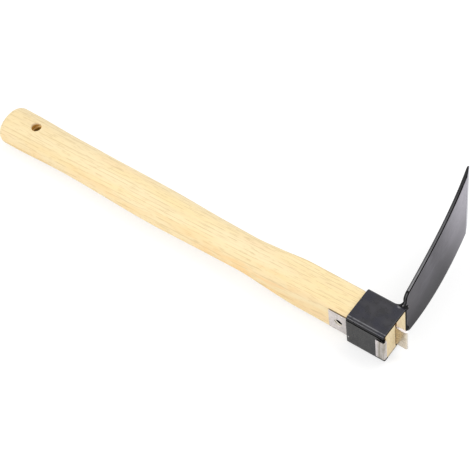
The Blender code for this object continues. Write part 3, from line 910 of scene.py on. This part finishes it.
def socket_profile():
    """Round the sheet's section: place along X, depth under the outside and how much it is rubbed."""
    length = SOCKET_LENGTH
    edge = SHEET_ROUND
    inner = SHEET_INNER_ROUND
    back = arc((edge - length, edge), edge, 180, 270, 4)
    outside = [(-length + edge + (length - edge - SEAM_FLARE_LENGTH) * i / 12, 0.0) for i in range(1, 12)]
    outside += [(-SEAM_FLARE_LENGTH + (SEAM_FLARE_LENGTH - edge) * i / 20, 0.0) for i in range(20)]
    front = arc((-edge, edge), edge, -90, 0, 4)
    inside = arc((-inner, SOCKET_SHEET - inner), inner, 0, 90, 3)
    inside += arc((inner - length, SOCKET_SHEET - inner), inner, 90, 180, 3)
    parts = ((back, 1.0), (outside, 0.0), (front, 1.0), (inside, 0.4))
    return [(x, depth, worn_and_lit) for points, worn_and_lit in parts for x, depth in points]


def make_socket():
    profile = socket_profile()
    rings = []
    wear = []
    for place, way in band_outline():
        ring = []
        for x, depth, worn_and_lit in profile:
            if depth < SOCKET_SHEET / 2:
                depth = max(depth, seam_cut(x, place))
            spot = place - way * depth
            ring.append((x, spot.x, spot.y))
            wear.append(worn_and_lit)
        rings.append(ring)
    band = object_from(skin(rings, closed_along=True), "black_socket")
    mark_edges(band, wear)

    def choose(centre, normal):
        """1 in the seam, 2 on the front rim, 3 on the near wall and 0 on the rest."""
        in_seam = SEAM_Z - 0.0035 < centre.z < SEAM_Z + 0.0006
        deep = NEAR_WALL + 0.0004 < centre.y < -WALL_INNER - 0.0002
        if in_seam and deep and 0.0001 - SOCKET_LENGTH < centre.x < -0.0001:
            return 1
        if abs(normal.x) > 0.6 and centre.x > -0.001:
            return 2
        return 3 if normal.y < -0.7 and centre.y < -WALL_INNER - SOCKET_SHEET / 2 else 0

    # The near wall gets a copy of the paint with less gloss, as painted shade on that side
    paints = (
        socket_material("socket_black_paint", 0.48), seam_material(), rim_material(),
        socket_material("socket_wall_paint", 0.29))
    paint_faces(band, paints, choose)
    place_piece(band, "socket_band")


# Blade

def blade_face(y):
    """The front face's X at a distance y out from the handle's middle."""
    share = (y - SHOULDER_Y) / BLADE_REACH
    return -BLADE_SETBACK - BLADE_LEAN * share - BLADE_CURVE * share * share


def blade_slope(y):
    share = (y - SHOULDER_Y) / BLADE_REACH
    return -(BLADE_LEAN + 2 * BLADE_CURVE * share) / BLADE_REACH


def blade_half_width(y):
    u = (y - SHOULDER_Y) / BLADE_REACH
    start = (2 * u ** 3 - 3 * u ** 2 + 1) * SHOULDER_WIDTH / 2
    end = (3 * u ** 2 - 2 * u ** 3) * EDGE_WIDTH / 2
    start_flare = (u ** 3 - 2 * u ** 2 + u) * math.tan(SHOULDER_FLARE)
    end_flare = (u ** 3 - u ** 2) * math.tan(EDGE_FLARE)
    return start + end + (start_flare + end_flare) * BLADE_REACH


def blade_outline():
    """Distance out and half width: neck, hollow, round shoulder, side and edge corner."""
    side_start = SHOULDER_Y + SHOULDER_END
    nearby = 0.0005
    rise = blade_half_width(side_start + nearby) - blade_half_width(side_start - nearby)
    lean = math.atan2(rise, 2 * nearby)
    centre = (
        side_start + SHOULDER_RADIUS * math.sin(lean),
        blade_half_width(side_start) - SHOULDER_RADIUS * math.cos(lean))
    neck = NECK_WIDTH / 2
    hollow = (centre[0] - SHOULDER_RADIUS - NECK_FILLET, neck + NECK_FILLET)
    foot = SHOULDER_Y + CLEARANCE - BLADE_THICKNESS * blade_slope(SHOULDER_Y)
    outline = [(foot, neck)]
    outline += arc(hollow, NECK_FILLET, -90, 0, 6)[:-1]
    outline += arc(centre, SHOULDER_RADIUS, 180, 90 + math.degrees(lean), 16)
    last = EDGE_Y - EDGE_CORNER
    for i in range(1, 60):
        y = side_start + (last - side_start) * i / 60
        outline.append((y, blade_half_width(y)))
    outline += arc((last, blade_half_width(last) - EDGE_CORNER), EDGE_CORNER, 90, 0, 6)
    return outline


def bend_plate(point):
    """From the flat plate (depth behind the front face, distance out, Z) to the ground, curved blade."""
    depth, y, z = -point.x, point.y, point.z
    front = GRIND_DEPTH * max(0.0, (y - (EDGE_Y - GRIND_LENGTH)) / GRIND_LENGTH)
    back_share = max(0.0, (y - (EDGE_Y - BACK_GRIND_LENGTH)) / BACK_GRIND_LENGTH)
    back = BLADE_THICKNESS - BACK_GRIND_DEPTH * back_share
    depth = front + (back - front) * depth / BLADE_THICKNESS
    slope = blade_slope(y)
    length = math.hypot(1.0, slope)
    return Vector((blade_face(y) - depth / length, y + depth * slope / length, z))


def slice_mesh(work, axis, distance):
    """Adds points where the plane at a distance along an axis (0, 1 or 2) cuts the mesh."""
    way = Vector((0, 0, 0))
    way[axis] = 1
    bmesh.ops.bisect_plane(
        work, geom=work.verts[:] + work.edges[:] + work.faces[:], dist=0.000005,
        plane_co=way * distance, plane_no=way)


def make_blade():
    outline = blade_outline()
    loop = outline + [(y, -half) for y, half in reversed(outline)]
    work = skin([[(x, y, z) for y, z in loop] for x in (0.0, -BLADE_THICKNESS)])
    rims = [edge for edge in work.edges if abs(edge.verts[0].co.x - edge.verts[1].co.x) < 0.00001]
    bmesh.ops.bevel(
        work, geom=rims, offset=PLATE_ROUND, offset_type="OFFSET", segments=4, profile=0.5, affect="EDGES")
    # Points at the borders of the rims' paint, along the curve and the grind, and across the width
    for depth in (0.0008, 0.0012, 0.0025, 0.0029):
        slice_mesh(work, 0, -depth)
    grind = EDGE_Y - GRIND_LENGTH
    levels = [SHOULDER_Y + 0.002 * i for i in range(1, 70)]
    levels += [grind - 0.0003, grind, grind + 0.0003, EDGE_Y - BACK_GRIND_LENGTH]
    for y in sorted(levels):
        slice_mesh(work, 1, y)
    for z in range(-42, 43, 3):
        slice_mesh(work, 2, z / 1000)
    for vertex in work.verts:
        vertex.co = bend_plate(vertex.co)
    blade = object_from(work, "curved_blade")

    # The outline as far as the shoulder; past it the half width alone tells how far in a place lies
    shoulder = [Vector(place) for place in outline[:30]]
    shoulder_past = SHOULDER_Y + 0.013

    def rim_distance(point):
        """How far a place lies behind the front face and inside the plate's outline."""
        y = min(max(point.y, SHOULDER_Y), EDGE_Y)
        depth = (blade_face(y) - point.x) * math.hypot(1.0, blade_slope(y))
        if y > shoulder_past:
            return depth, blade_half_width(y) - abs(point.z)
        place = Vector((point.y, abs(point.z)))
        side = 1.0
        for start, end in zip(shoulder, shoulder[1:]):
            nearest, share = intersect_point_line(place, start, end)
            nearest = start if share < 0 else end if share > 1 else nearest.to_2d()
            side = min(side, (place - nearest).length)
        return depth, side

    def edge_wear(point):
        worn_band = 0.00045
        worn_depth = 0.0012
        worn_ramp = 0.0004
        depth, side = rim_distance(point)
        from_face = min(depth, BLADE_THICKNESS - depth)
        return smooth_step((worn_depth - from_face) / worn_ramp) if side < worn_band else 0.0

    mark_edges(blade, [edge_wear(vertex.co) for vertex in blade.data.vertices])
    front_look = blade_material(
        "blade_front_coat", ((0.0480, 0.0445, 0.0530), (0.103, 0.098, 0.113), (0.440, 0.420, 0.474)),
        GRIND_LENGTH, 0.40, 0.05, (0.30, 0.29, 0.31), slant=0.28)
    back_look = blade_material(
        "blade_back_coat", ((0.010, 0.010, 0.012), (0.024, 0.024, 0.026), (0.080, 0.079, 0.083)),
        BACK_GRIND_LENGTH, 0.34, 0.40, (0.004, 0.004, 0.004))
    side_look = blade_material(
        "blade_side_coat", ((0.250, 0.247, 0.255), (0.140, 0.138, 0.145), (0.014, 0.014, 0.016)),
        SIDE_GRIND_LENGTH, 0.34, 0.16, (0.022, 0.022, 0.023), (0.075, 0.075, 0.078))
    rim_look = blade_material(
        "blade_rim_coat", ((0.0020, 0.0020, 0.0020), (0.0030, 0.0030, 0.0030), (0.0025, 0.0025, 0.0025)),
        SIDE_GRIND_LENGTH, 0.45, 0.05, (0.0015, 0.0015, 0.0015))

    def choose(centre, normal):
        """0 on the front, 1 on the back, 2 on the sides and 3 on their black rims."""
        if abs(normal.x) > 0.8:
            return 0 if normal.x > 0 else 1
        depth, side = rim_distance(centre)
        at_neck = centre.y < SHOULDER_Y + SHOULDER_END
        black = depth < 0.00105 or (at_neck and depth > 0.0027)
        return 3 if black and side < RIM_BAND else 2

    paint_faces(blade, (front_look, back_look, side_look, rim_look), choose)
    place_piece(blade, "blade", 32.0)


# Welds

def bead(name, corner, plate_way, wall_way, middle_size, end_size, seed):
    """A lumpy bead along Z in the corner between a plate and the wall; sizes are two legs and a crown."""
    rings = []
    steps = 160
    half = WELD_LENGTH / 2
    for i in range(steps + 1):
        z = -half + WELD_LENGTH * i / steps
        at_end = smooth_step((abs(z) - WELD_END_START) / WELD_END_RAMP)
        plate_leg, wall_leg, crown = [
            low + (high - low) * at_end for low, high in zip(middle_size, end_size)]
        end = math.sqrt(max(0.0, 1 - (abs(z) / half) ** 24))
        # Ripples and slower swells of the legs, weaker where the bead turns into its ends
        rough = 1 - 0.75 * at_end
        ripple = 0.05 * rough * math.sin(z * 2600 + 2 * noise.noise(Vector((z * 300, seed, 0.0))))
        swell = 0.16 * rough * noise.noise(Vector((z * 240, seed + 4.0, 0.0)))
        share = (0.86 + 0.14 * end) * (1 + ripple + swell)
        over = max(0.0, abs(z) - SEAM_Z)
        drop = SOCKET_CORNER - math.sqrt(SOCKET_CORNER ** 2 - over ** 2)
        ring = [(corner[0], corner[1] - drop, z)]
        for k in range(13):
            u = k / 12
            bow = crown * math.sin(math.pi * u)
            bow *= 1 + 0.5 * rough * noise.noise(Vector((z * 500, u * 3, seed)))
            spot = corner + plate_way * (share * plate_leg * (1 - u)) + wall_way * (share * wall_leg * u)
            out = (plate_way + wall_way).normalized() * bow
            ring.append((spot.x + out.x, spot.y + out.y - drop * u, z))
        rings.append(ring)
    return object_from(skin(rings), name)


def add_lump(obj, centre, radii, seed):
    """Adds a lumpy drop of weld metal to a bead."""
    work = bmesh.new()
    work.from_mesh(obj.data)
    made = bmesh.ops.create_icosphere(work, subdivisions=5, radius=1.0)
    for vertex in made["verts"]:
        way = vertex.co.normalized()
        spot = way * Vector(radii) + Vector(centre)
        # Height and fineness of its broad and of its small lumps
        lump = 0.00042 * noise.noise(spot * 520 + Vector((seed, 0.0, 0.0)))
        lump += 0.00020 * noise.noise(spot * 1300 + Vector((0.0, seed, 0.0)))
        vertex.co = spot + way * lump
    work.to_mesh(obj.data)
    work.free()


def make_welds():
    material = weld_material()
    wall = SHOULDER_Y + WELD_GAP
    plate_way = Vector((blade_slope(SHOULDER_Y), 1.0)).normalized()
    front_corner = Vector((blade_face(wall) + WELD_GAP, wall))
    front_size = (FRONT_PLATE_LEG, FRONT_WALL_LEG, FRONT_WELD_CROWN)
    front = bead("front_weld_bead", front_corner, plate_way, Vector((1.0, 0.0)), front_size, front_size, 2.0)
    middle = blade_face(wall) - BLADE_THICKNESS / 2
    # Drops at both ends of the front bead: centre beside the plate's middle, radii and seed
    lumps = (
        ((0.0006, -0.0004, 0.0162), (0.0030, 0.0026, 0.0026), 3.0),
        ((-0.0014, -0.0016, 0.0178), (0.0026, 0.0011, 0.0013), 9.0),
        ((0.0012, 0.0012, 0.0172), (0.0013, 0.0014, 0.0014), 5.0),
        ((0.0026, -0.0002, 0.0168), (0.0015, 0.0016, 0.0017), 7.0),
        ((0.0030, 0.0020, 0.0160), (0.0015, 0.0021, 0.0020), 4.0))
    for side in (1, -1):
        for (x, y, z), radii, seed in lumps:
            add_lump(front, (middle + x, wall + y, side * z), radii, seed * side)
    back_corner = Vector((blade_face(wall) - BLADE_THICKNESS - WELD_GAP, wall))
    back_size = (BACK_WELD_LEG, BACK_WELD_LEG, -BACK_WELD_HOLLOW)
    back_end_size = (BACK_END_LEG, BACK_END_LEG, -BACK_END_HOLLOW)
    back = bead("back_weld_bead", back_corner, plate_way, Vector((-1.0, 0.0)), back_size, back_end_size, 8.0)
    for obj, node in ((front, "weld_front"), (back, "weld_back")):
        paint_faces(obj, (material,))
        place_piece(obj, node, 60.0)


# Strap

def make_strap():
    wall_out = NEAR_WALL - CLEARANCE
    hook_out = wall_out - STRAP_THICKNESS
    outer_bend = STRAP_BEND + STRAP_THICKNESS
    front = CLEARANCE
    outline = [(TAB_END, STRAP_OUTER), (TAB_END, STRAP_INNER)]
    outline += arc((front, STRAP_INNER - outer_bend), outer_bend, 90, 0, 10)
    outline += arc((front, hook_out + outer_bend), outer_bend, 0, -90, 10)
    outline += [(-STRAP_HOOK, hook_out), (-STRAP_HOOK, wall_out)]
    outline += arc((front, wall_out + STRAP_BEND), STRAP_BEND, -90, 0, 5)
    outline += arc((front, STRAP_OUTER - STRAP_BEND), STRAP_BEND, 0, 90, 5)
    strap = prism("galvanised_strap", outline, STRAP_WIDTH)
    middle = (STRAP_INNER + STRAP_OUTER) / 2
    punch = drill("strap_punch", (TAB_HOLE_X, 0.0), STRAP_HOLE / 2, middle - 0.003, middle + 0.003, 60)
    subtract(strap, punch, None)
    round_edges(strap, STRAP_ROUND, 3)

    def choose(centre, normal):
        """2 in the hole, 1 on the tab's sheared sides and 0 on the rest."""
        from_hole = math.hypot(centre.x - TAB_HOLE_X, centre.z)
        if from_hole < STRAP_HOLE / 2 + 0.0002 and abs(normal.y) < 0.8:
            return 2
        return 1 if centre.x < -SOCKET_LENGTH and abs(normal.z) > 0.9 and abs(centre.z) > 0.01 else 0

    paint_faces(strap, (strap_material(), sheared_edge_shade_material(), punched_wall_lit_material()), choose)
    place_piece(strap, "retaining_strap")


# Wedge

def make_wedge():
    neck = WEDGE_PROUD - WEDGE_HEAD_LENGTH
    head_half = WEDGE_HEAD_THICKNESS / 2
    stations = (
        (-WEDGE_SEAT, 0.0, wedge_half_thickness(-WEDGE_SEAT)), (neck, 0.0, wedge_half_thickness(neck)),
        (WEDGE_PROUD - WEDGE_HEAD_LENGTH / 3, WEDGE_HEAD_LEAN / 2, head_half),
        (WEDGE_PROUD, WEDGE_HEAD_LEAN, head_half / 2))
    wedge = prism("steel_wedge", wedge_outline(stations), WEDGE_WIDTH)
    round_edges(wedge, WEDGE_ROUND, 4, 25.0)
    paint_faces(wedge, (wedge_material(),))
    place_piece(wedge, "end_wedge", 50.0)


# Stage

def seen_directly(tree):
    """1 on rays that show the backdrop itself, straight from the camera or in a gloss."""
    path = add_node(tree, "LightPath").outputs
    seen = add_node(tree, "Math", {0: path["Is Camera Ray"], 1: path["Is Glossy Ray"]})
    seen.operation = "MAXIMUM"
    return seen.outputs[0]


def make_floor():
    """A floor that is seen white with the hoe's shadow on it, and that lights the hoe like pale paper."""
    reach = 4.0
    glow = 0.70
    corners = [(-reach, -reach, 0), (reach, -reach, 0), (reach, reach, 0), (-reach, reach, 0)]
    mesh = bpy.data.meshes.new("pale_floor")
    mesh.from_pydata(corners, [], [(0, 1, 2, 3)])
    floor = new_object("pale_floor", mesh)
    look = Look("pale_floor")
    seen = seen_directly(look.tree)
    look.colour = look.mix(seen, (0.90, 0.90, 0.90), (0.38, 0.38, 0.38))
    feed(look.tree, (1.0, 1.0, 1.0), look.shader.inputs["Emission Color"])
    feed(look.tree, look.times(seen, glow), look.shader.inputs["Emission Strength"])
    floor.data.materials.append(look.shade(0.9, 0.1))


def make_world():
    """White light from all round, a little weaker than the white that is seen."""
    world = bpy.data.worlds.new("soft_white_room")
    bpy.context.scene.world = world
    world.use_nodes = True
    tree = world.node_tree
    level = add_node(tree, "MapRange", {
        "Value": seen_directly(tree), "To Min": 0.80, "To Max": 1.0})
    background = tree.nodes["Background"]
    feed(tree, (1.0, 1.0, 1.0), background.inputs["Color"])
    feed(tree, level.outputs["Result"], background.inputs["Strength"])


def area_light(name, place, target, size, power):
    lamp = bpy.data.lights.new(name, "AREA")
    lamp.shape = "DISK"
    lamp.size = size
    lamp.energy = power
    holder = new_object(name, lamp)
    holder.location = place
    holder.rotation_euler = (Vector(target) - Vector(place)).to_track_quat("-Z", "Y").to_euler()


def make_camera():
    """The photograph's view, found from the square socket's edges."""
    place = Vector((0.43245, -0.63840, 1.23720))
    right = Vector((0.80578, 0.58565, -0.08792))
    down = Vector((0.43811, -0.68940, -0.57688))
    forward = Vector((-0.39846, 0.42632, -0.81208))
    turned = Matrix((right, -down, -forward)).transposed().to_4x4()
    data = bpy.data.cameras.new("photo_view")
    data.sensor_width = 36.0
    data.lens = 132.74
    camera = new_object("photo_view", data)
    camera.matrix_world = HOE @ Matrix.Translation(place) @ turned
    bpy.context.scene.camera = camera


make_handle()
make_socket()
make_blade()
make_welds()
make_strap()
make_wedge()
make_floor()
make_world()
area_light("front_softbox", place=(-0.37, -1.19, 0.62), target=(0.10, -0.05, 0.02), size=0.50, power=4.0)
area_light("top_softbox", place=(0.50, 0.55, 1.90), target=(0.0, 0.0, 0.0), size=1.20, power=10.0)
make_camera()
bpy.context.scene.view_settings.view_transform = "Standard"
